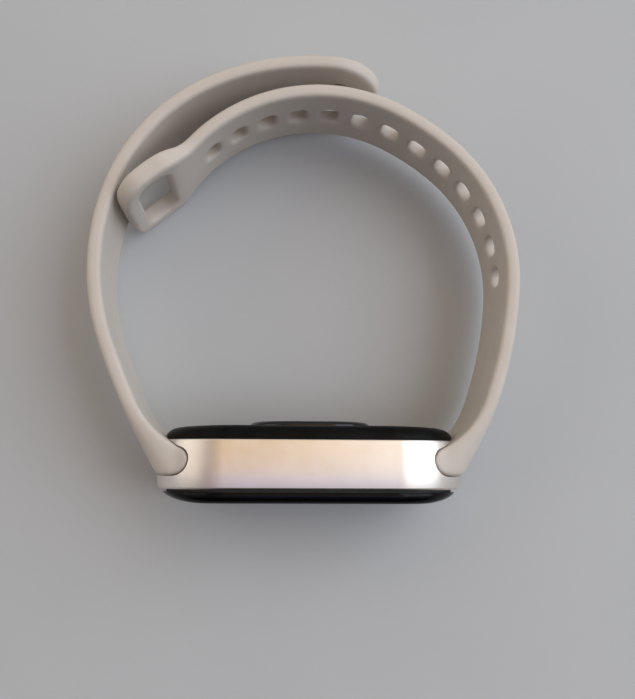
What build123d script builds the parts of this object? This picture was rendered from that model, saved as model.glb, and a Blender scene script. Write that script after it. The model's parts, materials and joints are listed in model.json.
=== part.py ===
from build123d import *
from math import cos, radians, sin
import os

os.makedirs("parts", exist_ok=True)

# A fitness tracker on its band, lying on its side, in millimetres.
# X runs along the case, Y from the display side to the wrist side, Z across the band.
# The plane Z = 0 is what the band lies on, and Y = 0 is the ledge that the straps stand on.

# Case
CASE_LENGTH = 46.6
CASE_WIDTH = 21.6
CASE_CORNER = 10.6
MID_Z = CASE_WIDTH / 2
FRAME_FRONT = -2.0
FRAME_BACK = 5.2
FRAME_TAPER = 0.4
FRAME_BEVEL = 0.3
CAVITY_LENGTH = 30.0
CAVITY_WIDTH = 19.0
CAVITY_CORNER = 6.0
DISPLAY_SHELF = -0.6
SHELF_LENGTH = 41.7
SHELF_WIDTH = 18.6
SHELF_CORNER = 9.2
SEAL_WALL = 0.4
SEAL_HEIGHT = 0.3

# Display
GLASS_LENGTH = 44.4
GLASS_WIDTH = 20.4
GLASS_CORNER = 10.1
GLASS_BACK = -2.4
GLASS_FRONT = -4.0
GLASS_FLAT = 15.5
GLASS_EDGE_DROP = 1.1
GLASS_EDGE_RADIUS = 1.2
PANEL_LENGTH = 39.5
PANEL_WIDTH = 17.0
PANEL_CORNER = 8.4
PANEL_BACK = -1.2

# Back cover and sensor
COVER_LENGTH = 43.9
COVER_WIDTH = 20.6
COVER_CORNER = 10.2
COVER_TOP = 7.4
COVER_CROWN_DROP = 0.35
COVER_EDGE_RADIUS = 1.7
COVER_INSIDE = 6.4
COVER_GAP = 0.1
BUMP_LENGTH = 18.4
BUMP_WIDTH = 14.0
BUMP_TOP = 8.05
BUMP_FOOT = 6.9
LENS_FOOT = 6.0

# Straps
STRAP_WIDTH = 16.5
STRAP_THICKNESS = 2.2
STRAP_LOW = MID_Z - STRAP_WIDTH / 2
STRAP_HIGH = MID_Z + STRAP_WIDTH / 2
STRAP_START = 22.8
BLEND_END = 11.2
FLEX_AT = 12.2
STRAP_EDGE = 0.8
# Each strap's outer face, as tangent arcs of (radius, length). A positive radius turns left.
STUD_HEADING = 118.7
STUD_RUNS = [(-142.0, 20.3), (-36.8, 25.5), (-30.0, 23.6), (-38.6, 28.1)]
HOLE_HEADING = 60.0
HOLE_RUNS = [(66.2, 29.7), (27.8, 26.4), (42.1, 9.6), (27.3, 35.9), (-25.0, 6.2), (25.0, 8.3)]

# Strap tongue, which fills the notch in each end of the frame
TONGUE_CENTRE = (20.35, 2.5)
TONGUE_RADIUS = 2.5
LIP_CENTRE = (19.45, 2.5)
LIP_RADIUS = 1.6
LIP_ANGLE = 22.0
LIP_LENGTH = 0.8
NOTCH_GAP = 0.05

# Closure
HOLE_COUNT = 13
FIRST_HOLE = 33.1
HOLE_PITCH = 5.45
HOLE_ALONG = 3.5
HOLE_ACROSS = 5.4
STUD_AT = 91.0
STUD_ALONG = 3.3
STUD_ACROSS = 5.1
STUD_PROUD = 2.0
KEEPER_WALL = 2.4
KEEPER_START = 3.3
KEEPER_END = 2.9
WINDOW_ALONG = 6.2
WINDOW_CORNER = 2.2
LOOP_CORNER = 4.6
LOOP_OUTSIDE = -0.45
LOOP_INSIDE = 2.6
LOOP_EDGE = 0.7

# Quick release, in each strap root
TAB_TIP = 15.9
TAB_END = 19.2
TAB_FLOOR = 0.7
TAB_ROOF = 3.4
TAB_WIDTH = 7.2
INSERT_END = 22.7
INSERT_FLOOR = 0.5
INSERT_ROOF = 3.6
INSERT_WIDTH = 11.0
SOCKET_GAP = 0.05
ARM_WIDTH = 4.0
ARM_LOW = 1.9
ARM_HIGH = 2.5
TOOTH_LENGTH = 0.8
TOOTH_TOP = 3.9
BUTTON_CENTRE = 21.3
BUTTON_LENGTH = 1.7
BUTTON_WIDTH = 4.4
BUTTON_GAP = 0.1
LEAF_THICKNESS = 0.15


class Course:
    """The outer face of one strap seen along Z: tangent arcs that start at the case."""

    def __init__(self, x, heading, runs):
        self.x = x
        self.heading = radians(heading)
        self.runs = runs
        self.inward = 1 if runs[0][0] > 0 else -1
        self.length = sum(length for radius, length in runs)

    def follow(self, distance):
        """Position and direction on the outer face at a distance from the case."""
        x, y, heading = self.x, 0.0, self.heading
        for radius, length in self.runs:
            step = min(distance, length)
            turned = heading + step / radius
            x += radius * (sin(turned) - sin(heading))
            y -= radius * (cos(turned) - cos(heading))
            heading = turned
            distance -= step
        return x, y, heading

    def spot(self, distance, depth=0.0):
        """A point at a depth inside the strap, measured from its outer face."""
        x, y, heading = self.follow(distance)
        return Vector(x - self.inward * depth * sin(heading), y + self.inward * depth * cos(heading))

    def along(self, distance):
        heading = self.follow(distance)[2]
        return Vector(cos(heading), sin(heading))

    def plane(self, distance):
        """A plane on the outer face at mid width: x along the strap, z into the strap."""
        along = self.along(distance)
        inward = self.inward * Vector(-along.Y, along.X)
        origin = self.spot(distance) + Vector(0, 0, MID_Z)
        return Plane(origin=origin, x_dir=along, z_dir=inward)

    def arcs(self, start, end, depth):
        joints = [sum(length for radius, length in self.runs[:i]) for i in range(1, len(self.runs))]
        marks = [start, *[joint for joint in joints if start < joint < end], end]
        return [
            ThreePointArc(self.spot(a, depth), self.spot((a + b) / 2, depth), self.spot(b, depth))
            for a, b in zip(marks, marks[1:])
        ]

    def section(self, start, end, outer=0.0, inner=STRAP_THICKNESS):
        """The strap's side view between two distances, from one depth to another."""
        ends = [Line(self.spot(s, outer), self.spot(s, inner)) for s in (start, end)]
        return make_face([*self.arcs(start, end, outer), *self.arcs(start, end, inner), *ends])


STUD_COURSE = Course(-STRAP_START, STUD_HEADING, STUD_RUNS)
HOLE_COURSE = Course(STRAP_START, HOLE_HEADING, HOLE_RUNS)


def save(part, name):
    part.label = name
    export_step(part, f"parts/{name}.step")


def block(x, y, z):
    """A box between (low, high) pairs."""
    centre = Pos((x[0] + x[1]) / 2, (y[0] + y[1]) / 2, (z[0] + z[1]) / 2)
    return centre * Box(x[1] - x[0], y[1] - y[0], z[1] - z[0])


def middle(width):
    """The Z range of something that is centred across the band."""
    return MID_Z - width / 2, MID_Z + width / 2


def on_ledge(y, x=0.0, z=MID_Z):
    return Plane(origin=(x, y, z), x_dir=(1, 0, 0), z_dir=(0, 1, 0))


def pad(length, width, corner, low, high, x=0.0):
    """A flat block with rounded corners, between two heights along Y."""
    outline = on_ledge(low, x) * RectangleRounded(length, width, corner)
    return extrude(outline, amount=high - low, dir=(0, 1, 0))


def disc(diameter, low, high, x, z):
    return extrude(on_ledge(low, x, z) * Circle(diameter / 2), amount=high - low, dir=(0, 1, 0))


def prism(section, low=0.0, high=CASE_WIDTH):
    """A side view carried across the band."""
    return Pos(0, 0, low) * extrude(section, amount=high - low, dir=(0, 0, 1))


def both_sides(part):
    """The part at the hole strap's end, and its mirror image at the stud strap's end."""
    return {"hole": part, "stud": mirror(part, about=Plane.YZ)}


def around(centre, radius, angle, side):
    """A point on a circle in the side view, mirrored for the stud strap's end."""
    x = centre[0] + radius * cos(radians(angle))
    y = centre[1] + radius * sin(radians(angle))
    return Vector(side * x, y)


def tongue_outline(course, side, gap=0.0):
    """The tongue from its flat underside, round its tip and up its lip to the even part of the strap."""
    big, small = TONGUE_RADIUS + gap, LIP_RADIUS + gap
    turn = 90 + LIP_ANGLE
    lip_start = around(LIP_CENTRE, small, turn, side)
    lip_end = lip_start + LIP_LENGTH * Vector(side * cos(radians(LIP_ANGLE)), sin(radians(LIP_ANGLE)))
    blend = course.spot(BLEND_END, STRAP_THICKNESS + gap)
    edges = [
        ThreePointArc(*[around(TONGUE_CENTRE, big, angle, side) for angle in (270, 225, 180)]),
        ThreePointArc(*[around(LIP_CENTRE, small, angle, side) for angle in (180, (180 + turn) / 2, turn)]),
        Line(lip_start, lip_end),
        TangentArc(blend, lip_end, tangent=-course.along(BLEND_END)),
    ]
    return edges, edges[0] @ 0, blend


def closed(edges, points):
    """A face whose boundary is some edges and then straight lines through the points."""
    return make_face([*edges, *[Line(a, b) for a, b in zip(points, points[1:])]])


def notch(course, side, gap):
    """The space that a strap's tongue and foot need in the end of the case."""
    edges, foot, blend = tongue_outline(course, side, gap)
    outside = side * CASE_LENGTH
    return prism(closed(edges, [blend, (outside, blend.Y), (outside, foot.Y), foot]))


# Case frame, display and back


def case_frame():
    half, back = CASE_LENGTH / 2, FRAME_BACK
    body = pad(CASE_LENGTH, CASE_WIDTH, CASE_CORNER, FRAME_FRONT, back)
    profile = Polygon(
        (-half, back),
        (-half, FRAME_TAPER),
        (FRAME_TAPER - half, FRAME_FRONT),
        (half - FRAME_TAPER, FRAME_FRONT),
        (half, FRAME_TAPER),
        (half, back),
        align=None,
    )
    body = body & prism(profile)
    body = chamfer(body.edges().group_by(Axis.Y)[0], FRAME_BEVEL)
    body -= pad(CAVITY_LENGTH, CAVITY_WIDTH, CAVITY_CORNER, FRAME_FRONT, back)
    body -= pad(
        CAVITY_LENGTH + 2 * SEAL_WALL,
        CAVITY_WIDTH + 2 * SEAL_WALL,
        CAVITY_CORNER + SEAL_WALL,
        back - SEAL_HEIGHT,
        back,
    )
    body -= pad(SHELF_LENGTH, SHELF_WIDTH, SHELF_CORNER, FRAME_FRONT, DISPLAY_SHELF)
    tab_z = middle(TAB_WIDTH + 2 * SOCKET_GAP)
    for course, side in ((STUD_COURSE, -1), (HOLE_COURSE, 1)):
        body -= notch(course, side, NOTCH_GAP)
        socket_x = sorted((side * (TAB_TIP - SOCKET_GAP), side * (TAB_END + 0.6)))
        body -= block(socket_x, (TAB_FLOOR - SOCKET_GAP, TAB_ROOF + SOCKET_GAP), tab_z)
        tooth_x = sorted((side * (TAB_TIP + 0.5), side * (TAB_TIP + 1.6)))
        body -= block(tooth_x, (TAB_ROOF, TOOTH_TOP + 0.15), middle(ARM_WIDTH + 0.3))
    return body


def cover_glass():
    glass = pad(GLASS_LENGTH, GLASS_WIDTH, GLASS_CORNER, GLASS_FRONT, GLASS_BACK)
    glass = fillet(glass.edges().group_by(Axis.Y)[0], GLASS_EDGE_RADIUS)
    half = GLASS_LENGTH / 2
    edge = GLASS_FRONT + GLASS_EDGE_DROP
    curves = [
        TangentArc((side * GLASS_FLAT, GLASS_FRONT), (side * half, edge), tangent=(side, 0))
        for side in (-1, 1)
    ]
    front = Line((-GLASS_FLAT, GLASS_FRONT), (GLASS_FLAT, GLASS_FRONT))
    rim = [(-half, edge), (-half, GLASS_BACK), (half, GLASS_BACK), (half, edge)]
    return glass & prism(closed([*curves, front], rim))


def display_panel():
    return pad(PANEL_LENGTH, PANEL_WIDTH, PANEL_CORNER, GLASS_BACK, PANEL_BACK)


def display_gasket():
    ring = pad(43.4, 19.6, 9.7, GLASS_BACK, FRAME_FRONT)
    return ring - pad(41.2, 18.0, 8.9, GLASS_BACK, FRAME_FRONT)


def sensor_window():
    bump = pad(BUMP_LENGTH, BUMP_WIDTH, 6.3, BUMP_FOOT, BUMP_TOP)
    bump = fillet(bump.edges().group_by(Axis.Y)[-1], 0.7)
    return bump + pad(16.4, 11.4, 5.2, LENS_FOOT, BUMP_FOOT)


def charging_contacts():
    """Two pads beside the sensor, flush with the back cover."""
    pads = [disc(2.0, 5.6, 7.2, -14.5, MID_Z + offset) for offset in (-3.2, 3.2)]
    return Compound(children=pads)


def back_cover(fitted):
    half, edge = COVER_LENGTH / 2, COVER_TOP - COVER_CROWN_DROP
    cover = pad(COVER_LENGTH, COVER_WIDTH, COVER_CORNER, FRAME_BACK, COVER_TOP)
    cover = fillet(cover.edges().group_by(Axis.Y)[-1], COVER_EDGE_RADIUS)
    crown = ThreePointArc((half, edge), (0, COVER_TOP), (-half, edge))
    rim = [(-half, edge), (-half, FRAME_BACK), (half, FRAME_BACK), (half, edge)]
    cover = cover & prism(closed([crown], rim))
    for course, side in ((STUD_COURSE, -1), (HOLE_COURSE, 1)):
        cover -= notch(course, side, COVER_GAP)
    plug_low = FRAME_BACK - 0.45
    cover += pad(29.8, 18.8, 5.9, plug_low, FRAME_BACK)
    cover -= pad(27.8, 16.8, 4.9, plug_low, COVER_INSIDE)
    for piece in fitted:
        cover -= piece
    return cover


def back_cover_gasket():
    low = FRAME_BACK - SEAL_HEIGHT
    ring = pad(30.8, 19.8, 6.4, low, FRAME_BACK)
    return ring - pad(29.8, 18.8, 5.9, low, FRAME_BACK)


# Electronics


def inner_chassis():
    tray = pad(29.6, 18.6, 5.8, -0.55, 4.7)
    tray -= pad(27.6, 16.6, 4.8, 0.05, 4.7)
    return tray - block((-13.8, -12.9), (-0.55, 0.05), middle(7.0))


def main_board():
    return pad(26.0, 16.0, 4.4, 0.05, 0.85)


def shield_can():
    can = block((5.4, 13.0), (0.85, 2.05), middle(8.4))
    return can - block((5.55, 12.85), (0.85, 1.9), middle(8.1))


def battery():
    cell = block((-10.9, 4.9), (0.85, 4.2), middle(14.4))
    return fillet(cell.edges().filter_by(Axis.Y), 1.2)


def display_flex_cable():
    """A ribbon from the panel's back, up through the tray's slot and onto the board."""
    under = block((-13.5, -6.0), (PANEL_BACK, PANEL_BACK + 0.2), middle(6.0))
    riser = block((-13.5, -13.3), (PANEL_BACK, 1.05), middle(6.0))
    landing = block((-13.5, -11.4), (0.85, 1.05), middle(6.0))
    return under + riser + landing


def sensor_leds():
    """Two light sources on the sensor board, below the lens."""
    lamps = [block((x - 0.9, x + 0.9), (5.35, LENS_FOOT), middle(1.8)) for x in (-4.6, 4.6)]
    return Compound(children=lamps)


# Quick release at the hole strap's end; the stud strap's end has its mirror image


def connector_body():
    """The outside of the rigid insert, with the tab that plugs into the frame."""
    insert = block((TAB_END, INSERT_END), (INSERT_FLOOR, INSERT_ROOF), middle(INSERT_WIDTH))
    return insert + block((TAB_TIP, TAB_END), (TAB_FLOOR, TAB_ROOF), middle(TAB_WIDTH))


def connector():
    """The insert, hollowed out for the latch's arm, its tooth and the button's stem."""
    insert = connector_body()
    channel = (TAB_TIP + 0.4, BUTTON_CENTRE)
    floor = TAB_FLOOR + 0.45
    insert -= block(channel, (floor, TAB_ROOF - 0.5), middle(ARM_WIDTH + 0.3))
    insert -= block((TAB_TIP + 0.5, TAB_TIP + 1.6), (floor, TAB_ROOF), middle(ARM_WIDTH + 0.3))
    well = BUTTON_LENGTH / 2 + BUTTON_GAP
    well_z = middle(BUTTON_WIDTH + 2 * BUTTON_GAP)
    return insert - block((BUTTON_CENTRE - well, BUTTON_CENTRE + well), (floor, INSERT_ROOF), well_z)


def button_well():
    """The opening in the strap above the insert that the button stands in."""
    return pad(
        BUTTON_LENGTH + 2 * BUTTON_GAP,
        BUTTON_WIDTH + 2 * BUTTON_GAP,
        0.8,
        INSERT_ROOF,
        8.0,
        BUTTON_CENTRE,
    )


def release_button(strap_body):
    """A pressed cap, flush with the strap, on an arm whose tooth hooks into the frame."""
    cap = pad(BUTTON_LENGTH, BUTTON_WIDTH, 0.7, INSERT_ROOF - 1.0, 8.0, BUTTON_CENTRE)
    cap = cap & strap_body
    stem = block((BUTTON_CENTRE - 0.6, BUTTON_CENTRE + 0.6), (ARM_LOW, INSERT_ROOF), middle(ARM_WIDTH))
    arm = block((TAB_TIP + 0.6, BUTTON_CENTRE), (ARM_LOW, ARM_HIGH), middle(ARM_WIDTH))
    tooth_x = (TAB_TIP + 0.6, TAB_TIP + 0.6 + TOOTH_LENGTH)
    return cap + stem + arm + block(tooth_x, (ARM_LOW, TOOTH_TOP), middle(ARM_WIDTH))


def latch_spring():
    """A bowed leaf on the insert's floor that carries the arm."""
    floor = TAB_FLOOR + 0.45
    top = ARM_LOW - 0.02
    ends, crest = (18.0, 21.6), 19.8
    bow = ThreePointArc((ends[0], floor + LEAF_THICKNESS), (crest, top), (ends[1], floor + LEAF_THICKNESS))
    hollow = ThreePointArc((ends[0], floor), (crest, top - LEAF_THICKNESS), (ends[1], floor))
    sides = [Line(bow @ 0, hollow @ 0), Line(bow @ 1, hollow @ 1)]
    return prism(make_face([bow, hollow, *sides]), *middle(3.0))


# Straps


def root_section(course, side):
    """The first part of a strap: its tongue, its lip and the thick foot that it bends from."""
    edges, foot, blend = tongue_outline(course, side)
    closing = [
        *course.arcs(BLEND_END, FLEX_AT, STRAP_THICKNESS),
        Line(course.spot(FLEX_AT, STRAP_THICKNESS), course.spot(FLEX_AT)),
        *course.arcs(0, FLEX_AT, 0),
        Line(course.spot(0), foot),
    ]
    return make_face([*edges, *closing])


def far(edge):
    """Whether an edge lies on the strap's own faces and not on its tongue."""
    return abs(edge.center().X) > STRAP_START - 1 and edge.center().Y > 2


def rounded_band(course, start, end):
    """The even part of a strap, with rounded edges."""
    band = prism(course.section(start, end), STRAP_LOW, STRAP_HIGH)
    long_edges = [
        edge
        for edge in band.edges()
        if abs(edge.length - STRAP_THICKNESS) > 0.05 and abs(edge.length - STRAP_WIDTH) > 0.05
    ]
    return fillet(long_edges, STRAP_EDGE)


def strap_root(course, side):
    """The tongue is as wide as the case's rounded end, and the foot as wide as the strap."""
    section = root_section(course, side)
    in_case = prism(section) & pad(CASE_LENGTH, CASE_WIDTH, CASE_CORNER, FRAME_FRONT, FRAME_BACK)
    foot = prism(section, STRAP_LOW, STRAP_HIGH)
    long_edges = foot.edges().filter_by(GeomType.CIRCLE).filter_by(lambda edge: edge.length > 0.9 and far(edge))
    return in_case + fillet(long_edges, STRAP_EDGE)


def closure_stud():
    """An oval snap stud: a flange let into the outer face, a neck and a rounded head."""
    base = STUD_COURSE.plane(STUD_AT)
    neck_along, neck_across = STUD_ALONG - 0.9, STUD_ACROSS - 0.9
    head_at = STRAP_THICKNESS + STUD_PROUD - 1.0

    def oval(along, across, low, high):
        outline = RectangleRounded(along, across, along / 2 - 0.01)
        return extrude(base.offset(low) * outline, amount=high - low)

    head = oval(STUD_ALONG, STUD_ACROSS, head_at, head_at + 1.0)
    head = fillet(head.faces().sort_by(SortBy.DISTANCE, reverse=True)[0].edges(), 0.35)
    flange = oval(4.2, 6.4, 0, 0.7)
    return flange + oval(neck_along, neck_across, 0.7, head_at) + head


def stud_strap(stud):
    """A plain band with a rounded tip, which lies outside the other strap when it is shut."""
    band = rounded_band(STUD_COURSE, FLEX_AT, STUD_COURSE.length)
    tip_x = max(STUD_COURSE.spot(STUD_COURSE.length, depth).X for depth in (0, STRAP_THICKNESS))
    radius = STRAP_WIDTH / 2
    corners = block((tip_x - radius, tip_x + 1), (50, 80), (STRAP_LOW, STRAP_HIGH))
    corners -= disc(STRAP_WIDTH, 50, 80, tip_x - radius, MID_Z)
    return band - corners - stud


def hole_strap():
    """A band with a row of oval holes, ending in a loop that the stud strap passes through."""
    end = HOLE_COURSE.length
    loop_start = end - KEEPER_END - WINDOW_ALONG - KEEPER_START
    band = rounded_band(HOLE_COURSE, FLEX_AT, loop_start + 1)
    loop = prism(HOLE_COURSE.section(loop_start, end, LOOP_OUTSIDE, LOOP_INSIDE))
    thickness = LOOP_INSIDE - LOOP_OUTSIDE
    loop = fillet([edge for edge in loop.edges() if abs(edge.length - thickness) < 0.02], LOOP_CORNER)
    loop = fillet([edge for edge in loop.edges() if abs(edge.length - thickness) > 0.05], LOOP_EDGE)
    strap = band + loop
    window_at = HOLE_COURSE.plane(end - KEEPER_END - WINDOW_ALONG / 2)
    window = RectangleRounded(WINDOW_ALONG, CASE_WIDTH - 2 * KEEPER_WALL, WINDOW_CORNER)
    strap -= extrude(window_at.offset(-2) * window, amount=thickness + 4)
    oval = RectangleRounded(HOLE_ALONG, HOLE_ACROSS, HOLE_ALONG / 2 - 0.01)
    for number in range(HOLE_COUNT):
        hole_at = HOLE_COURSE.plane(FIRST_HOLE + number * HOLE_PITCH)
        strap -= extrude(hole_at.offset(-1) * oval, amount=STRAP_THICKNESS + 2)
    return strap


# Build and save

lens = sensor_window()
contacts = charging_contacts()
save(case_frame(), "case_frame")
save(cover_glass(), "cover_glass")
save(display_panel(), "display_panel")
save(display_gasket(), "display_gasket")
save(lens, "sensor_window")
save(contacts, "charging_contacts")
save(back_cover([lens, contacts]), "back_cover")
save(back_cover_gasket(), "back_cover_gasket")
save(inner_chassis(), "inner_chassis")
save(main_board(), "main_board")
save(shield_can(), "shield_can")
save(battery(), "battery")
save(disc(7.0, 2.05, 4.15, 9.2, MID_Z), "vibration_motor")
save(display_flex_cable(), "display_flex_cable")
save(pad(16.0, 12.0, 2.0, 4.75, 5.35), "sensor_board")
save(sensor_leds(), "sensor_leds")
save(block((-1.5, 1.5), (5.35, LENS_FOOT), middle(3.0)), "photodiode")

inserts = both_sides(connector())
pockets = both_sides(connector_body() + button_well())
springs = both_sides(latch_spring())
roots = {"hole": strap_root(HOLE_COURSE, 1), "stud": strap_root(STUD_COURSE, -1)}
buttons = {
    "hole": release_button(roots["hole"]),
    "stud": mirror(release_button(mirror(roots["stud"], about=Plane.YZ)), about=Plane.YZ),
}
for strap in ("hole", "stud"):
    save(roots[strap] - pockets[strap], f"{strap}_strap_root")
    save(inserts[strap], f"{strap}_connector")
    save(springs[strap], f"{strap}_latch_spring")
    save(buttons[strap], f"{strap}_release_button")

stud = closure_stud()
save(stud, "closure_stud")
save(stud_strap(stud), "stud_strap")
save(hole_strap(), "hole_strap")

for name, course in (("stud", STUD_COURSE), ("hole", HOLE_COURSE)):
    hinge = course.spot(FLEX_AT)
    print(name, "flex line", round(hinge.X, 3), round(hinge.Y, 3), "length", round(course.length, 1))
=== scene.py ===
import json
from math import atan2, cos, degrees, hypot, pi, radians, sin

import bmesh
import bpy
import numpy as np
from mathutils import Matrix, Vector


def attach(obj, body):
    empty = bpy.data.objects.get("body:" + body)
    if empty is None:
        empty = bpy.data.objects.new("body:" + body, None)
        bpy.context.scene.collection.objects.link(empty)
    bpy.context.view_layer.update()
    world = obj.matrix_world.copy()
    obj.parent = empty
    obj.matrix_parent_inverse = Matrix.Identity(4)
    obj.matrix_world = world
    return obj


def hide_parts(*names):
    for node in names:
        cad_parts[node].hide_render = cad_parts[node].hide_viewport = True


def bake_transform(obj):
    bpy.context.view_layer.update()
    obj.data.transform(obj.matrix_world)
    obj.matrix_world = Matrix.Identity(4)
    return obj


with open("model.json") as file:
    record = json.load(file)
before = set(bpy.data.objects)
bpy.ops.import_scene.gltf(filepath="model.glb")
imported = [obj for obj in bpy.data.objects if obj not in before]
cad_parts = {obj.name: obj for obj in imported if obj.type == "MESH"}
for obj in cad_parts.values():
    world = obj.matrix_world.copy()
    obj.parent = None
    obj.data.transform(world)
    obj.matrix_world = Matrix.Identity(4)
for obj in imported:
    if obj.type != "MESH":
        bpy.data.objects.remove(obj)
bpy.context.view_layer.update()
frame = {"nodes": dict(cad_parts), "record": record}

# Lengths in this script are millimetres until a mesh is placed in the frame, which is in metres.
MM = 0.001

# Case
CASE_LENGTH = 46.6
CASE_WIDTH = 21.6
CASE_CORNER = 10.7
MID_Z = CASE_WIDTH / 2
FRAME_FRONT = -2.0
FRAME_BACK = 5.2
FRAME_WAIST = 1.2
FRAME_INSET_FRONT = 0.36
FRAME_INSET_BACK = 0.25
FRAME_LIP = 0.3
FRAME_EDGE = 0.12
CAVITY = (30.0, 19.0, 6.0)
SEAL = (30.8, 19.8, 6.4)
SEAL_FLOOR = 4.9
DISPLAY_SHELF = -0.6
SHELF = (41.7, 18.6, 9.2)

# Glass, back cover and sensor lens. Their rings are insets of the skin's stations on the flat,
# and the walls of the glass and the lens are shares of their height.
GLASS = (44.4, 20.4, 10.1)
GLASS_BACK = -2.4
GLASS_FRONT = -4.0
GLASS_FLAT = 15.5
GLASS_EDGE_DROP = 1.1
GLASS_EDGE_ROUND = 1.2
GLASS_WALL = 0.14
GLASS_RINGS = (2.0, 3.5, 5.0, 7.0, 9.0, 10.0)
GLASS_CREASE = 60
COVER = (43.9, 20.6, 10.2)
COVER_TOP = 7.4
COVER_WALL = 0.4
COVER_CROWN_DROP = 0.35
COVER_EDGE_ROUND = 2.1
COVER_RINGS = (2.8, 4.0, 5.5, 7.0, 8.5, 10.0)
COVER_GAP = 0.1
COVER_HOLLOW = (27.8, 16.8, 4.9)
COVER_INSIDE = 6.4
LENS = (18.4, 14.0, 6.3)
LENS_TOP = 8.05
LENS_FOOT = 6.9
LENS_ROUND = 0.9
LENS_WALL = 0.4
LENS_SHOULDER = 0.98
LENS_RINGS = (1.6, 2.6, 3.6, 5.0, 6.2)
LENS_CREASE = 40
LENS_STEM = (16.4, 11.4, 5.2)
LENS_STEM_FOOT = 6.0
PAD_X = -14.5
PAD_Z = (-3.2, 3.2)
PAD_RADIUS = 1.0
PAD_BORE = (5.0, 9.0)

# Straps: width, thickness and the side view of each outer face, as in the CAD
STRAP_HALF = 8.25
STRAP_THICKNESS = 2.2
STRAP_START = 22.8
BLEND_END = 11.2
STUD_HEADING = 118.7
STUD_RUNS = [(-142.0, 20.3), (-36.8, 25.5), (-30.0, 23.6), (-38.6, 28.1)]
HOLE_HEADING = 60.0
HOLE_RUNS = [(66.2, 29.7), (27.8, 26.4), (42.1, 9.6), (27.3, 35.9), (-25.0, 6.2), (25.0, 8.3)]
TONGUE_CENTRE = (20.35, 2.5)
TONGUE_RADIUS = 2.5
LIP_CENTRE = (19.45, 2.5)
LIP_RADIUS = 1.6
LIP_ANGLE = 22.0
LIP_LENGTH = 0.8
NOTCH_GAP = 0.08

# Holes, at their throats, and keeper loop
HOLE_COUNT = 13
FIRST_HOLE = 33.1
HOLE_PITCH = 5.45
HOLE_ALONG = 3.0
HOLE_ACROSS = 4.9
HOLE_MARGIN = (0.3, 1.2)
KEEPER_WALL = 2.4
KEEPER_END = 2.9
WINDOW_ALONG = 6.2
WINDOW_CORNER = 2.4
LOOP_HALF = CASE_WIDTH / 2
LOOP_CORNER = 5.0
LOOP_OUTSIDE = -0.45
LOOP_INSIDE = 2.6
LOOP_END_TURN = 1.4
LOOP_END_DROP = 0.9
FLARE_FROM = 14.2
FLARE_TO = 8.9

# Snap stud and release button
STUD_AT = 91.0
STUD_FLANGE = (4.3, 6.5, 2.1)
STUD_NECK = (2.4, 4.2, 1.15)
STUD_SEAT_DEPTH = 0.75
SEAT_MARGIN = (2.6, 4.5)
BUTTON_CENTRE = 21.3
BUTTON_LENGTH = 1.7
BUTTON_WIDTH = 4.4
WELL_CLEARANCE = 0.3
WELL_CORNER = 0.9
WELL_FLOOR = 4.0
WELL_STEP = 0.8
TAB_X = (15.85, 19.8)
TAB_Y = (0.65, 3.45)
TAB_HALF = 3.65
TOOTH_X = (16.4, 17.5)
TOOTH_Y = (3.4, 4.05)
TOOTH_HALF = 2.15

# Moulded surface: grid for the skin, corner radii, and rounding passes with their shares
VOXEL = 0.25
FOOT_ROUND = 3.4
FOOT_ROUND_END = 14.0
EDGE_ROUND = 0.6
RELAX_STEPS = 20
RELAX_SHARE = 0.5
RELAX_AT_HOLES = 0.3
RELAX_AT_SEAT = 0.15

# Flat blanks: spacing of stations, and how far the cutting solids reach past the strap
STATION = 0.5
PAST_START = 4.0
BELOW = -3.0
ABOVE = 9.0
MARGIN = 2.0

# Camera: the point under it, its height, what it looks at, its turn in degrees and its lens
CAMERA_FOOT = (-6.36, 1.38)
CAMERA_HEIGHT = 152.7
CAMERA_AIM = (1.17, 19.52, 10.8)
CAMERA_ROLL = 0.27
CAMERA_LENS = 47.1

# Sky. The ceiling's colours run from left to right, over its middle and over its front. The other
# pairs say between which directions the ceiling, its middle and the viewer's dark side begin.
SKY_STRENGTH = 1.18
SKY_ACROSS = [
    (0.05, (0.18, 0.14, 0.16)),
    (0.30, (0.50, 0.38, 0.22)),
    (0.45, (0.69, 0.45, 0.18)),
    (0.62, (0.80, 0.60, 0.36)),
    (0.80, (1.00, 0.98, 1.00)),
    (0.98, (0.34, 0.33, 0.42)),
]
SKY_FRONT = [
    (0.05, (0.23, 0.18, 0.22)),
    (0.30, (0.48, 0.41, 0.46)),
    (0.50, (0.59, 0.60, 0.86)),
    (0.80, (0.96, 0.97, 1.00)),
    (0.98, (0.32, 0.31, 0.40)),
]
SKY_WALLS = (0.41, 0.42, 0.43)
SKY_NEAR = (0.03, 0.03, 0.03)
ACROSS_SPAN = (-0.6, 0.6)
MIDDLE_SPAN = (-0.30, 0.10)
CEILING_SPAN = (0.45, 0.92)
VIEWER_SPAN = (-0.70, -0.28)
DARK_TO_LIGHT = [(0.0, (0, 0, 0)), (1.0, (1, 1, 1))]

# Lights, in metres: the point that they face, then the place, side, watts and colour of each
LIGHT_CENTRE = (0, 0.03, 0.01)
WINDOW_LIGHT = ((0.84, 0.20, 0.84), 1.2, 9.6, (0.84, 0.92, 1.0))
FILL_LIGHT = ((-0.95, 0.25, 0.55), 1.0, 2.1, (1.0, 0.87, 0.68))


# Small tools


def new_object(name, mesh):
    obj = bpy.data.objects.new(name, mesh)
    bpy.context.scene.collection.objects.link(obj)
    return obj


def mesh_from(name, points, faces):
    """An object from points and faces, with its faces turned outwards."""
    mesh = bpy.data.meshes.new(name)
    mesh.from_pydata([tuple(point) for point in points], [], faces)
    mesh.validate()
    bm = bmesh.new()
    bm.from_mesh(mesh)
    bmesh.ops.recalc_face_normals(bm, faces=bm.faces)
    bm.to_mesh(mesh)
    bm.free()
    return new_object(name, mesh)


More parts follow.
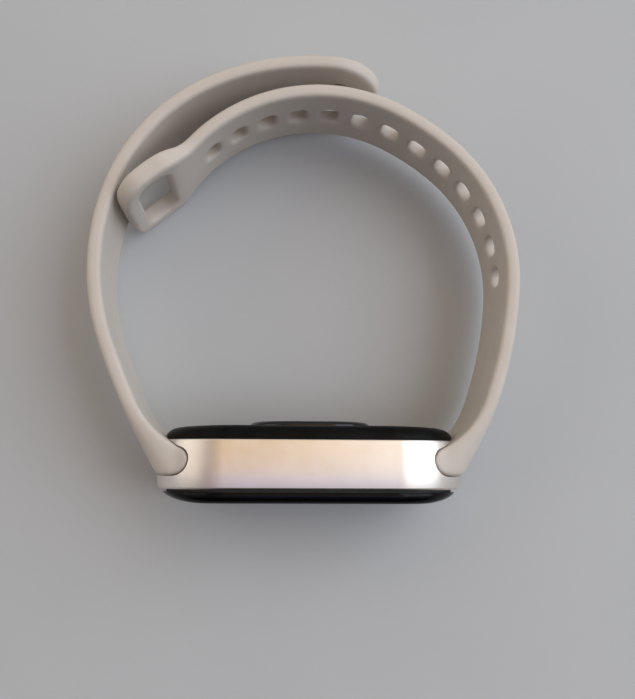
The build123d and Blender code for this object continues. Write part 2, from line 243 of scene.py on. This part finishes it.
def loft(name, rings):
    """A closed skin through rings that have the same number of points."""
    count = len(rings[0])
    points = [point for ring in rings for point in ring]
    faces = []
    for level in range(len(rings) - 1):
        a, b = level * count, (level + 1) * count
        for i in range(count):
            j = (i + 1) % count
            faces.append((a + i, a + j, b + j, b + i))
    faces.append(tuple(range(count))[::-1])
    last = (len(rings) - 1) * count
    faces.append(tuple(last + i for i in range(count)))
    return mesh_from(name, points, faces)


def bake(obj):
    """Applies an object's modifiers."""
    graph = bpy.context.evaluated_depsgraph_get()
    mesh = bpy.data.meshes.new_from_object(obj.evaluated_get(graph))
    obj.modifiers.clear()
    obj.data = mesh
    return obj


def cut(obj, tool, operation):
    """Joins, trims or cuts an object by a tool, which is then removed."""
    modifier = obj.modifiers.new("cut", "BOOLEAN")
    modifier.operation = operation
    modifier.object = tool
    modifier.solver = "EXACT"
    bake(obj)
    bpy.data.objects.remove(tool)
    return obj


def merge(obj, other):
    """Adds another mesh to this one, as a separate piece of it."""
    bm = bmesh.new()
    bm.from_mesh(obj.data)
    bm.from_mesh(other.data)
    bm.to_mesh(obj.data)
    bm.free()
    bpy.data.objects.remove(other)
    return obj


def remesh(obj, size):
    """Gives an object one even skin of small faces."""
    modifier = obj.modifiers.new("remesh", "REMESH")
    modifier.mode = "VOXEL"
    modifier.voxel_size = size
    return bake(obj)


def coordinates(obj):
    """Every vertex of an object, as rows of x, y, z."""
    values = np.empty(len(obj.data.vertices) * 3, np.float32)
    obj.data.vertices.foreach_get("co", values)
    return values.reshape(-1, 3).astype(float)


def set_coordinates(obj, points):
    obj.data.vertices.foreach_set("co", np.asarray(points, np.float32).ravel())
    obj.data.update()


def relax(obj, steps, strength):
    """Rounds edges by moving each vertex towards its neighbours, by a share for each vertex."""
    points = coordinates(obj)
    edges = np.empty(len(obj.data.edges) * 2, np.int32)
    obj.data.edges.foreach_get("vertices", edges)
    a, b = edges.reshape(-1, 2).T
    count = len(points)
    valence = np.bincount(a, minlength=count) + np.bincount(b, minlength=count)
    share = strength(points)[:, None]
    for _ in range(steps):
        total = np.stack(
            [
                np.bincount(a, points[b, axis], count) + np.bincount(b, points[a, axis], count)
                for axis in range(3)
            ],
            axis=1,
        )
        points = points + share * (total / valence[:, None] - points)
    set_coordinates(obj, points)


def turn_outwards(obj):
    bm = bmesh.new()
    bm.from_mesh(obj.data)
    bmesh.ops.recalc_face_normals(bm, faces=bm.faces)
    bm.to_mesh(obj.data)
    bm.free()


def smooth_shading(obj):
    obj.data.polygons.foreach_set("use_smooth", [True] * len(obj.data.polygons))


def smoothstep(value, start, end):
    share = np.clip((value - start) / (end - start), 0, 1)
    return share * share * (3 - 2 * share)


def arc_points(centre, radius, start, end, count):
    """Points on a circle between two angles in degrees."""
    angles = [radians(start + (end - start) * i / count) for i in range(count + 1)]
    return [(centre[0] + radius * cos(a), centre[1] + radius * sin(a)) for a in angles]


def rounded_outline(length, width, corner, per_corner=10):
    """A rectangle with rounded corners about the origin, as a list of points."""
    across, up = length / 2 - corner, width / 2 - corner
    corners = [(across, up, 0), (-across, up, 90), (-across, -up, 180), (across, -up, 270)]
    points = []
    for x, y, angle in corners:
        points += arc_points((x, y), corner, angle, angle + 90, per_corner)
    return points


# Straps. A strap is made flat, as (along, depth from the outer face, across), and then bent.


class Course:
    """The outer face of one strap seen along Z: tangent arcs that start at the case."""

    def __init__(self, x, heading, runs):
        self.x = x
        self.heading = radians(heading)
        self.runs = runs
        self.inward = 1 if runs[0][0] > 0 else -1
        self.length = sum(length for radius, length in runs)

    def bend(self, flat):
        """Places flat points in the row frame, in metres."""
        along, depth, across = np.asarray(flat, float).T
        x = np.full(len(along), float(self.x))
        y = np.zeros(len(along))
        heading = np.full(len(along), self.heading)
        left = along.copy()
        for number, (radius, length) in enumerate(self.runs):
            last = number == len(self.runs) - 1
            step = left if last else np.minimum(left, length)
            turned = heading + step / radius
            x += radius * (np.sin(turned) - np.sin(heading))
            y -= radius * (np.cos(turned) - np.cos(heading))
            heading = turned
            left = left - step
        x -= self.inward * depth * np.sin(heading)
        y += self.inward * depth * np.cos(heading)
        return np.stack([x, y, MID_Z + across], axis=1) * MM

    def flatten(self, x, y):
        """The flat place of a point beside the strap's first arc."""
        radius = self.runs[0][0]
        centre_x = self.x - radius * sin(self.heading)
        centre_y = radius * cos(self.heading)
        start = self.heading - self.inward * pi / 2
        angle = atan2(y - centre_y, x - centre_x)
        turned = (angle - start + pi) % (2 * pi) - pi
        return radius * turned, abs(radius) - hypot(x - centre_x, y - centre_y)

    def spot(self, along, depth):
        x, y, z = self.bend([(along, depth, 0)])[0] / MM
        return x, y


STUD_COURSE = Course(-STRAP_START, STUD_HEADING, STUD_RUNS)
HOLE_COURSE = Course(STRAP_START, HOLE_HEADING, HOLE_RUNS)


def tongue_points(course, side, gap=0.0, count=18):
    """The strap from its flat underside, round its tongue and up its foot, seen from the side."""
    points = arc_points(TONGUE_CENTRE, TONGUE_RADIUS + gap, 270, 180, count)
    points += arc_points(LIP_CENTRE, LIP_RADIUS + gap, 180, 90 + LIP_ANGLE, count // 2)[1:]
    along = Vector((cos(radians(LIP_ANGLE)), sin(radians(LIP_ANGLE))))
    points.append(tuple(Vector(points[-1]) + LIP_LENGTH * along))
    start = Vector((side * points[-1][0], points[-1][1]))
    end = Vector(course.spot(BLEND_END, STRAP_THICKNESS + gap))
    ahead = Vector(course.spot(BLEND_END + 0.01, STRAP_THICKNESS + gap)) - end
    normal = Vector((-ahead.y, ahead.x)).normalized()
    chord = start - end
    radius = chord.length_squared / (2 * chord.dot(normal))
    centre = end + radius * normal
    first = atan2(start.y - centre.y, start.x - centre.x)
    sweep = atan2(end.y - centre.y, end.x - centre.x) - first
    sweep = degrees((sweep + pi) % (2 * pi) - pi)
    foot = arc_points(centre, abs(radius), degrees(first), degrees(first) + sweep, count)
    return [(side * x, y) for x, y in points] + foot[1:]


def loop_share(course, s):
    """How far a station lies into the keeper loop, from none to all of it."""
    end = course.length
    return float(smoothstep(s, end - FLARE_FROM, end - FLARE_TO)) if course is HOLE_COURSE else 0.0


def outer_depth(course, s):
    """Where the outer face lies: at depth 0, but swollen and then rounded off round the loop."""
    share = loop_share(course, s)
    past = (s - course.length + LOOP_END_TURN) / LOOP_END_TURN
    turned_in = min(max(0.0, past), 1.0) ** 2
    return LOOP_OUTSIDE * share + LOOP_END_DROP * share * turned_in


def inner_depth(course, s):
    return STRAP_THICKNESS + (LOOP_INSIDE - STRAP_THICKNESS) * loop_share(course, s)


def side_outline(course, side, outside):
    """The strap's flat side view: up its outer face, back down its inner face, round its tongue."""
    hook = [course.flatten(x, y) for x, y in tongue_points(course, side)]
    foot = course.flatten(side * STRAP_START, 0)
    stations = np.arange(BLEND_END + STATION, course.length, STATION)
    inner = [(s, inner_depth(course, s)) for s in stations]
    end = [(course.length, inner_depth(course, course.length)), (course.length, outside)]
    outline = [foot, *hook, *inner, *end]
    if outside:
        outline.insert(0, (foot[0], foot[1] + outside))
    return outline


def slab(name, outline, low, high):
    """A flat side view carried across the strap."""
    return loft(name, [[(s, t, w) for s, t in outline] for w in (low, high)])


def plan_slab(name, outline, low=BELOW, high=ABOVE):
    """A flat plan view carried through the strap's thickness."""
    return loft(name, [[(s, t, w) for s, w in outline] for t in (low, high)])


def envelope(name, course, half_width, edge_round):
    """The space a strap is cut from: its width and its outer corners, at stations along it."""
    rings = []
    stations = int((course.length + 2 * PAST_START) / STATION)
    for i in range(stations + 1):
        s = -PAST_START + i * STATION
        half, corner, top = half_width(s), edge_round(s), outer_depth(course, s)
        ring = [(s, ABOVE, half)]
        for angle in range(0, 91, 15):
            a = radians(angle)
            ring.append((s, top + corner - corner * sin(a), half - corner + corner * cos(a)))
        ring += [(s, t, -w) for s, t, w in ring[::-1]]
        rings.append(ring)
    return loft(name, rings)


def tongue_solid(course, side):
    """The part of the strap inside the case's outline, as wide as the case's rounded end."""
    solid = slab("tongue", side_outline(course, side, 0.0), -LOOP_HALF - 1, LOOP_HALF + 1)
    round_end = CASE_LENGTH / 2 - CASE_CORNER + 0.1
    outline = rounded_outline(CASE_LENGTH, CASE_WIDTH, CASE_CORNER, 20)
    outline = [(x, w) for x, w in outline if side * x > round_end]
    rings = [[(*course.flatten(x, y), w) for x, w in outline] for y in range(-1, 7)]
    return cut(solid, loft("pill", rings), "INTERSECT")


def edge_at(s):
    """How round the outer corners are: wide at the foot, tight further on."""
    return EDGE_ROUND + (FOOT_ROUND - EDGE_ROUND) * (1 - float(smoothstep(s, 0.0, FOOT_ROUND_END)))


def strap_blank(name, course, side, half_width):
    """The flat strap without its holes: its side view, trimmed to its width, with its tongue."""
    blank = slab(name, side_outline(course, side, -MARGIN), -LOOP_HALF - MARGIN, LOOP_HALF + MARGIN)
    cut(blank, envelope("envelope", course, half_width, edge_at), "INTERSECT")
    return cut(blank, tongue_solid(course, side), "UNION")


def button_well(course, side):
    """The opening that the release button stands in, carried straight up from inside the strap."""
    size = (BUTTON_LENGTH + WELL_CLEARANCE, BUTTON_WIDTH + WELL_CLEARANCE)
    outline = rounded_outline(*size, WELL_CORNER, 6)
    levels = [WELL_FLOOR + WELL_STEP * level for level in range(6)]
    place = side * BUTTON_CENTRE
    return loft("well", [[(*course.flatten(place + x, y), w) for x, w in outline] for y in levels])


def finish_strap(name, blank, course, strength):
    """Gives the blank one even skin, rounds it and bends it along its course."""
    remesh(blank, VOXEL)
    relax(blank, RELAX_STEPS, strength)
    set_coordinates(blank, course.bend(coordinates(blank)))
    turn_outwards(blank)
    smooth_shading(blank)
    blank.name = name
    return blank


def make_stud_strap():
    """A plain strap with a round tip and the seat of the snap stud."""
    blank = strap_blank("stud_band", STUD_COURSE, -1, lambda s: STRAP_HALF)
    tip = STUD_COURSE.length - STRAP_HALF
    outside = STRAP_HALF + MARGIN
    outline = [(-6, outside), (-6, -outside), (tip, -outside)]
    outline += arc_points((tip, 0), STRAP_HALF + 0.05, -90, 90, 32)
    outline.append((tip, outside))
    cut(blank, plan_slab("tip", outline), "INTERSECT")
    flange = [(STUD_AT + s, w) for s, w in rounded_outline(*STUD_FLANGE)]
    cut(blank, plan_slab("seat", flange, -MARGIN, STUD_SEAT_DEPTH), "DIFFERENCE")
    neck = [(STUD_AT + s, w) for s, w in rounded_outline(*STUD_NECK)]
    cut(blank, plan_slab("neck", neck), "DIFFERENCE")
    cut(blank, button_well(STUD_COURSE, -1), "DIFFERENCE")

    def strength(points):
        """Less rounding round the stud's seat."""
        apart = np.hypot(points[:, 0] - STUD_AT, points[:, 2] * 0.7)
        return RELAX_AT_SEAT + (RELAX_SHARE - RELAX_AT_SEAT) * smoothstep(apart, *SEAT_MARGIN)

    return finish_strap("stud_strap_moulding", blank, STUD_COURSE, strength)


def make_hole_strap():
    """A strap with a row of oval holes, flared at its end into a keeper loop."""
    end = HOLE_COURSE.length

    def half_width(s):
        return STRAP_HALF + (LOOP_HALF - STRAP_HALF) * loop_share(HOLE_COURSE, s)

    blank = strap_blank("hole_band", HOLE_COURSE, 1, half_width)
    middle = LOOP_HALF - LOOP_CORNER
    rounding, outside = end - LOOP_CORNER, LOOP_HALF + 3
    outline = [(-6, outside), (-6, -outside), (rounding, -outside)]
    outline += arc_points((rounding, -middle), LOOP_CORNER, -90, 0, 12)
    outline += arc_points((rounding, middle), LOOP_CORNER, 0, 90, 12)
    outline.append((rounding, outside))
    cut(blank, plan_slab("loop_end", outline), "INTERSECT")
    window_at = end - KEEPER_END - WINDOW_ALONG / 2
    window = rounded_outline(WINDOW_ALONG, CASE_WIDTH - 2 * KEEPER_WALL, WINDOW_CORNER)
    cut(blank, plan_slab("window", [(window_at + s, w) for s, w in window]), "DIFFERENCE")
    oval = rounded_outline(HOLE_ALONG, HOLE_ACROSS, HOLE_ALONG / 2 - 0.01)
    punch = plan_slab("punch", [(FIRST_HOLE + s, w) for s, w in oval])
    for number in range(1, HOLE_COUNT):
        at = FIRST_HOLE + number * HOLE_PITCH
        merge(punch, plan_slab("hole", [(at + s, w) for s, w in oval]))
    cut(blank, punch, "DIFFERENCE")
    cut(blank, button_well(HOLE_COURSE, 1), "DIFFERENCE")

    def strength(points):
        """Less rounding near the holes, so that they keep their size."""
        s, w = points[:, 0], np.abs(points[:, 2])
        nearest = np.clip(np.round((s - FIRST_HOLE) / HOLE_PITCH), 0, HOLE_COUNT - 1)
        beside = np.abs(s - FIRST_HOLE - nearest * HOLE_PITCH) - HOLE_ALONG / 2
        apart = np.maximum(beside, w - HOLE_ACROSS / 2)
        return RELAX_AT_HOLES + (RELAX_SHARE - RELAX_AT_HOLES) * smoothstep(apart, *HOLE_MARGIN)

    return finish_strap("hole_strap_moulding", blank, HOLE_COURSE, strength)


# Case. Each piece is a stack of rounded outlines along Y, inset by its own profile.


def capsule(name, size, profile, height=None, per_corner=40):
    """A skin over (inset, y) stations of a rounded outline; height may move a point along Y."""
    length, width, corner = size
    rings = []
    for inset, y in profile:
        outline = rounded_outline(length - 2 * inset, width - 2 * inset, corner - inset, per_corner)
        rings.append([(x, height(x, y) if height else y, MID_Z + z) for x, z in outline])
    return loft(name, rings)


def notch(course, side, gap):
    """The space that a strap's tongue and foot need in the end of the case."""
    outline = tongue_points(course, side, gap, 30)
    outside = side * CASE_LENGTH
    outline += [(outside, outline[-1][1]), (outside, outline[0][1])]
    return loft("notch", [[(x, y, z) for x, y in outline] for z in (-3, CASE_WIDTH + 3)])


def finish_case_piece(piece, crease=32):
    """Places a piece in the frame and shades it smooth between its real edges."""
    set_coordinates(piece, coordinates(piece) * MM)
    turn_outwards(piece)
    smooth_shading(piece)
    piece.data.set_sharp_from_angle(angle=radians(crease))
    return piece


def quarter_round(across, tall, steps=10):
    """Inset and rise of an elliptical edge, from its wall to its flat."""
    angles = [radians(90 * i / steps) for i in range(steps + 1)]
    return [(across * (1 - cos(a)), tall * sin(a)) for a in angles]


def block(name, side, x, y, half):
    """A box at one end of the case, centred across it."""
    corners = [(side * a, b) for a, b in ((x[0], y[0]), (x[1], y[0]), (x[1], y[1]), (x[0], y[1]))]
    return loft(name, [[(a, b, MID_Z + z) for a, b in corners] for z in (-half, half)])


def frame_inset(y):
    """The frame's side is a shallow barrel, fullest at its waist."""
    if y > FRAME_WAIST:
        return FRAME_INSET_BACK * ((y - FRAME_WAIST) / (FRAME_BACK - FRAME_WAIST)) ** 2
    return FRAME_INSET_FRONT * ((FRAME_WAIST - y) / (FRAME_WAIST - FRAME_FRONT)) ** 2


def make_frame():
    """The metal band: a barrel with a bevelled front lip, cut out for all that it holds."""
    low, high = FRAME_FRONT + FRAME_LIP, FRAME_BACK - FRAME_EDGE
    front, back = FRAME_INSET_FRONT, FRAME_INSET_BACK
    profile = [(front + FRAME_LIP + 0.02, FRAME_FRONT), (front + FRAME_LIP - 0.04, FRAME_FRONT + 0.02)]
    profile += [(frame_inset(y), y) for y in (low + (high - low) * i / 28 for i in range(29))]
    profile += [(back + 0.03, FRAME_BACK - 0.04), (back + FRAME_EDGE, FRAME_BACK)]
    body = capsule("metal_band", (CASE_LENGTH, CASE_WIDTH, CASE_CORNER), profile)
    for course, side in ((STUD_COURSE, -1), (HOLE_COURSE, 1)):
        cut(body, notch(course, side, NOTCH_GAP), "DIFFERENCE")
    cut(body, capsule("cavity", CAVITY, [(0, FRAME_FRONT - 1), (0, FRAME_BACK + 1)], None, 8), "DIFFERENCE")
    cut(body, capsule("shelf", SHELF, [(0, FRAME_FRONT - 1), (0, DISPLAY_SHELF)], None, 16), "DIFFERENCE")
    cut(body, capsule("seal", SEAL, [(0, SEAL_FLOOR), (0, FRAME_BACK + 1)], None, 8), "DIFFERENCE")
    for side in (-1, 1):
        cut(body, block("socket", side, TAB_X, TAB_Y, TAB_HALF), "DIFFERENCE")
        cut(body, block("catch", side, TOOTH_X, TOOTH_Y, TOOTH_HALF), "DIFFERENCE")
    return finish_case_piece(body)


def make_glass():
    """Flat in the middle, and falling away towards both ends."""
    profile = [(0.05, 0.0), (0.0, 0.04)]
    edge = quarter_round(GLASS_EDGE_ROUND, 1 - GLASS_WALL, 14)
    profile += [(inset, GLASS_WALL + rise) for inset, rise in edge]
    profile += [(inset, 1.0) for inset in GLASS_RINGS]

    def height(x, rise):
        beyond = max(0.0, abs(x) - GLASS_FLAT) / (GLASS[0] / 2 - GLASS_FLAT)
        return GLASS_BACK - rise * (GLASS_BACK - GLASS_FRONT - GLASS_EDGE_DROP * beyond**2)

    return finish_case_piece(capsule("glass_front", GLASS, profile, height, 48), GLASS_CREASE)


def make_cover():
    """A shallow dome with soft edges, cut away for the straps, the lens and the charging pads."""
    full = COVER_TOP - FRAME_BACK
    wall = COVER_WALL / full
    profile = [(0.0, 0.0)]
    profile += [(inset, wall + rise) for inset, rise in quarter_round(COVER_EDGE_ROUND, 1 - wall, 14)]
    profile += [(inset, 1.0) for inset in COVER_RINGS]

    def height(x, rise):
        return FRAME_BACK + rise * (full - COVER_CROWN_DROP * (2 * x / COVER[0]) ** 2)

    cover = capsule("back_shell", COVER, profile, height, 48)
    for course, side in ((STUD_COURSE, -1), (HOLE_COURSE, 1)):
        cut(cover, notch(course, side, COVER_GAP), "DIFFERENCE")
    seat = capsule("seat", LENS, [(-0.06, LENS_FOOT - 0.02), (-0.06, LENS_TOP)], None, 24)
    cut(cover, seat, "DIFFERENCE")
    hollow = capsule("hollow", COVER_HOLLOW, [(0, FRAME_BACK - 1), (0, COVER_INSIDE)], None, 12)
    cut(cover, hollow, "DIFFERENCE")
    opening = capsule("opening", LENS_STEM, [(0, COVER_INSIDE - 1), (0, LENS_FOOT + 0.5)], None, 12)
    cut(cover, opening, "DIFFERENCE")
    for z in PAD_Z:
        bore = arc_points((PAD_X, z), PAD_RADIUS + 0.03, 0, 345, 23)
        bore = loft("bore", [[(x, y, MID_Z + w) for x, w in bore] for y in PAD_BORE])
        cut(cover, bore, "DIFFERENCE")
    return finish_case_piece(cover)


def make_lens():
    """A raised lens with a soft edge, on the stem that it is bonded by."""
    full = LENS_TOP - LENS_FOOT
    edge = quarter_round(LENS_ROUND, LENS_SHOULDER - LENS_WALL, 12)
    profile = [(0.05, 0.0), (0.0, 0.05)]
    profile += [(inset, LENS_WALL + rise) for inset, rise in edge]
    profile += [(inset, LENS_SHOULDER + (1 - LENS_SHOULDER) * inset / 6) for inset in LENS_RINGS]

    def height(x, rise):
        return LENS_FOOT + rise * full

    lens = capsule("sensor_lens", LENS, profile, height, 32)
    stem = capsule("stem", LENS_STEM, [(0.03, LENS_STEM_FOOT), (0.03, LENS_FOOT + 0.2)], None, 12)
    return finish_case_piece(cut(lens, stem, "UNION"), LENS_CREASE)


# Materials


def material(name, **values):
    """A Principled material with some of its sockets set."""
    made = bpy.data.materials.new(name)
    made.use_nodes = True
    shader = made.node_tree.nodes["Principled BSDF"]
    for socket, value in values.items():
        shader.inputs[socket.replace("_", " ")].default_value = value
    return made, made.node_tree, shader


def noise(tree, scale, detail=3.0, roughness=0.5):
    """Fractal noise over the row frame, in cycles per metre."""
    place = tree.nodes.new("ShaderNodeTexCoord")
    texture = tree.nodes.new("ShaderNodeTexNoise")
    texture.inputs["Scale"].default_value = scale
    texture.inputs["Detail"].default_value = detail
    texture.inputs["Roughness"].default_value = roughness
    tree.links.new(place.outputs["Object"], texture.inputs["Vector"])
    return texture


def tint(tree, shader, source, low, high, start=0.35, end=0.65):
    """Varies the base colour between two tones."""
    ramp = tree.nodes.new("ShaderNodeValToRGB")
    ramp.color_ramp.elements[0].position = start
    ramp.color_ramp.elements[0].color = (*low, 1)
    ramp.color_ramp.elements[1].position = end
    ramp.color_ramp.elements[1].color = (*high, 1)
    tree.links.new(source.outputs["Fac"], ramp.inputs["Fac"])
    tree.links.new(ramp.outputs["Color"], shader.inputs["Base Color"])


def vary(tree, shader, socket, source, low, high):
    """Drives a number on the shader between two values."""
    spread = tree.nodes.new("ShaderNodeMapRange")
    spread.inputs["From Min"].default_value = 0.3
    spread.inputs["From Max"].default_value = 0.7
    spread.inputs["To Min"].default_value = low
    spread.inputs["To Max"].default_value = high
    tree.links.new(source.outputs["Fac"], spread.inputs["Value"])
    tree.links.new(spread.outputs["Result"], shader.inputs[socket])


def bump(tree, shader, source, height, strength=1.0):
    """Raises the surface by a height in metres where the source is light."""
    relief = tree.nodes.new("ShaderNodeBump")
    relief.inputs["Strength"].default_value = strength
    relief.inputs["Distance"].default_value = height
    tree.links.new(source.outputs["Fac"], relief.inputs["Height"])
    tree.links.new(relief.outputs["Normal"], shader.inputs["Normal"])


def elastomer():
    """Soft-touch rubber: fine tooth, faint clouding and a little light carried under the skin."""
    made, tree, shader = material("strap_elastomer", Roughness=0.55, IOR=1.42)
    shader.inputs["Subsurface Weight"].default_value = 0.12
    shader.inputs["Subsurface Radius"].default_value = (1.0, 0.75, 0.6)
    shader.inputs["Subsurface Scale"].default_value = 0.0008
    tint(tree, shader, noise(tree, 180, 4), (0.602, 0.538, 0.478), (0.622, 0.558, 0.498))
    vary(tree, shader, "Roughness", noise(tree, 900, 3), 0.52, 0.64)
    bump(tree, shader, noise(tree, 5200, 4, 0.6), 0.000012)
    return made


def anodised():
    """Bead-blasted, anodised metal: a broad satin sheen with a very fine grain."""
    made, tree, shader = material("metal_frame", Metallic=1.0)
    tint(tree, shader, noise(tree, 220, 3), (0.81, 0.745, 0.690), (0.85, 0.785, 0.735))
    vary(tree, shader, "Roughness", noise(tree, 700, 3), 0.33, 0.39)
    bump(tree, shader, noise(tree, 7000, 2, 0.5), 0.0000012)
    return made


def black_glass():
    """Coated glass over a black screen."""
    made, tree, shader = material("display_glass", IOR=1.36, Specular_IOR_Level=0.22)
    tint(tree, shader, noise(tree, 90, 2), (0.0015, 0.0015, 0.002), (0.003, 0.003, 0.0035))
    vary(tree, shader, "Roughness", noise(tree, 400, 4), 0.10, 0.16)
    bump(tree, shader, noise(tree, 500, 2), 0.0000008)
    return made


def black_plastic():
    """Matte black moulding with a fine spark-eroded grain."""
    made, tree, shader = material("cover_plastic", IOR=1.33, Specular_IOR_Level=0.15)
    tint(tree, shader, noise(tree, 300, 3), (0.003, 0.003, 0.003), (0.006, 0.006, 0.006))
    vary(tree, shader, "Roughness", noise(tree, 1500, 3), 0.36, 0.48)
    bump(tree, shader, noise(tree, 9000, 3, 0.6), 0.000006)
    return made


def simple(name, low, high, rough, metallic=0.0, scale=400, relief=0.000004):
    """A plain moulded or stamped finish, with a little variation."""
    made, tree, shader = material(name, Metallic=metallic)
    tint(tree, shader, noise(tree, scale, 3), low, high)
    vary(tree, shader, "Roughness", noise(tree, scale * 4, 3), rough - 0.05, rough + 0.07)
    bump(tree, shader, noise(tree, scale * 12, 2), relief)
    return made


def make_materials():
    """One material for each slot of the record."""
    return {
        "metal_frame": anodised(),
        "display_glass": black_glass(),
        "display_stack": simple("display_stack", (0.01, 0.01, 0.012), (0.02, 0.02, 0.024), 0.2),
        "black_seal": simple("black_seal", (0.008, 0.008, 0.008), (0.015, 0.015, 0.015), 0.7),
        "tray_plastic": simple("tray_plastic", (0.05, 0.05, 0.055), (0.07, 0.07, 0.075), 0.5),
        "circuit_board": simple("circuit_board", (0.01, 0.07, 0.035), (0.015, 0.10, 0.05), 0.35),
        "can_steel": simple("can_steel", (0.55, 0.55, 0.56), (0.64, 0.64, 0.65), 0.3, 1.0),
        "cell_foil": simple("cell_foil", (0.60, 0.61, 0.62), (0.70, 0.71, 0.72), 0.4, 1.0),
        "ribbon_film": simple("ribbon_film", (0.42, 0.20, 0.04), (0.5, 0.26, 0.06), 0.35),
        "cover_plastic": black_plastic(),
        "sensor_lens": simple("sensor_lens", (0.004, 0.004, 0.006), (0.008, 0.008, 0.012), 0.12),
        "lamp_resin": simple("lamp_resin", (0.60, 0.66, 0.50), (0.68, 0.74, 0.58), 0.2),
        "contact_gold": simple("contact_gold", (0.78, 0.56, 0.24), (0.84, 0.63, 0.30), 0.22, 1.0),
        "strap_elastomer": elastomer(),
        "insert_steel": simple("insert_steel", (0.5, 0.49, 0.48), (0.58, 0.57, 0.56), 0.35, 1.0),
        "stud_steel": simple("stud_steel", (0.70, 0.65, 0.60), (0.76, 0.71, 0.66), 0.25, 1.0),
    }


def dress_frame(materials):
    """Gives every carried-over CAD node the material of its slot."""
    slots = {part["node"]: part["material_slot"] for part in frame["record"]["subparts"]}
    for name, node in frame["nodes"].items():
        if not node.data.materials:
            node.data.materials.append(None)
        for place in node.material_slots:
            place.material = materials[slots[name]]


def make_floor():
    """A plain pale surface under the band."""
    floor = mesh_from("floor", [(-3, -3, 0), (3, -3, 0), (3, 3, 0), (-3, 3, 0)], [(0, 1, 2, 3)])
    made, tree, shader = material("floor_paint", Roughness=0.6)
    tint(tree, shader, noise(tree, 30, 5), (0.470, 0.480, 0.490), (0.485, 0.495, 0.505))
    bump(tree, shader, noise(tree, 1500, 4), 0.00001)
    floor.data.materials.append(made)


# Camera and light


def make_camera():
    """A camera almost straight above the band, which lies on its side."""
    data = bpy.data.cameras.new("camera")
    data.lens = CAMERA_LENS
    data.clip_start = 0.005
    camera = new_object("camera", data)
    eye = Vector((*CAMERA_FOOT, CAMERA_HEIGHT)) * MM
    look = (Vector(CAMERA_AIM) * MM - eye).normalized()
    level = look.cross(Vector((0, 1, 0))).normalized()
    above = level.cross(look)
    roll = radians(CAMERA_ROLL)
    right = level * cos(roll) + above * sin(roll)
    up = right.cross(look)
    turn = Matrix((right, up, -look)).transposed()
    camera.matrix_world = Matrix.Translation(eye) @ turn.to_4x4()
    bpy.context.scene.camera = camera


def area_light(name, place, size, watts, colour):
    """A square soft light, aimed at the middle of the band."""
    data = bpy.data.lights.new(name, "AREA")
    data.shape = "SQUARE"
    data.size = size
    data.energy = watts
    data.color = colour
    light = new_object(name, data)
    light.location = place
    light.rotation_euler = (Vector(LIGHT_CENTRE) - Vector(place)).to_track_quat("-Z", "Y").to_euler()


def stops(tree, source, span, colours):
    """A colour ramp over a number, between two of its values."""
    spread = tree.nodes.new("ShaderNodeMapRange")
    spread.inputs["From Min"].default_value = span[0]
    spread.inputs["From Max"].default_value = span[1]
    tree.links.new(source, spread.inputs["Value"])
    ramp = tree.nodes.new("ShaderNodeValToRGB")
    ramp.color_ramp.interpolation = "EASE"
    while len(ramp.color_ramp.elements) < len(colours):
        ramp.color_ramp.elements.new(0.5)
    for element, (place, colour) in zip(ramp.color_ramp.elements, colours):
        element.position = place
        element.color = (*colour, 1)
    tree.links.new(spread.outputs["Result"], ramp.inputs["Fac"])
    return ramp.outputs["Color"]


def mixed(tree, share, first, second):
    """One colour, then another as the share rises; each is a socket or a plain colour."""
    mix = tree.nodes.new("ShaderNodeMix")
    mix.data_type = "RGBA"
    tree.links.new(share, mix.inputs["Factor"])
    for socket, colour in ((mix.inputs["A"], first), (mix.inputs["B"], second)):
        if isinstance(colour, tuple):
            socket.default_value = (*colour, 1)
        else:
            tree.links.new(colour, socket)
    return mix.outputs["Result"]


def make_sky(tree):
    """A room with a bright ceiling, warm in its middle, white to the right and lilac in front."""
    place = tree.nodes.new("ShaderNodeTexCoord")
    split = tree.nodes.new("ShaderNodeSeparateXYZ")
    tree.links.new(place.outputs["Generated"], split.inputs["Vector"])
    across, along, above = (split.outputs[axis] for axis in "XYZ")
    middle = stops(tree, across, ACROSS_SPAN, SKY_ACROSS)
    front = stops(tree, across, ACROSS_SPAN, SKY_FRONT)
    past_front = stops(tree, along, MIDDLE_SPAN, DARK_TO_LIGHT)
    overhead = stops(tree, above, CEILING_SPAN, DARK_TO_LIGHT)
    past_viewer = stops(tree, along, VIEWER_SPAN, DARK_TO_LIGHT)
    ceiling = mixed(tree, past_front, front, middle)
    room = mixed(tree, overhead, SKY_WALLS, ceiling)
    return mixed(tree, past_viewer, SKY_NEAR, room)


def make_light():
    """The room, a cool window to the upper right and a warm fill from the left."""
    world = bpy.data.worlds.new("studio")
    bpy.context.scene.world = world
    world.use_nodes = True
    tree = world.node_tree
    background = tree.nodes["Background"]
    tree.links.new(make_sky(tree), background.inputs["Color"])
    background.inputs["Strength"].default_value = SKY_STRENGTH
    area_light("window", *WINDOW_LIGHT)
    area_light("fill", *FILL_LIGHT)


# Assembly

bpy.context.scene.view_settings.view_transform = "Standard"
make_camera()
make_light()
make_floor()
materials = make_materials()
dress_frame(materials)

lens = make_lens()
for piece, node, finish in (
    (make_frame(), "case_frame", "metal_frame"),
    (make_glass(), "cover_glass", "display_glass"),
    (make_cover(), "back_cover", "cover_plastic"),
    (lens, "sensor_window", "sensor_lens"),
):
    piece.data.materials.clear()
    piece.data.materials.append(materials[finish])
    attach(piece, "case")
    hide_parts(node)

for strap, body, nodes in (
    (make_stud_strap(), "stud_band", ("stud_strap", "stud_strap_root")),
    (make_hole_strap(), "hole_band", ("hole_strap", "hole_strap_root")),
):
    strap.data.materials.clear()
    strap.data.materials.append(materials["strap_elastomer"])
    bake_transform(strap)
    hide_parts(*nodes)
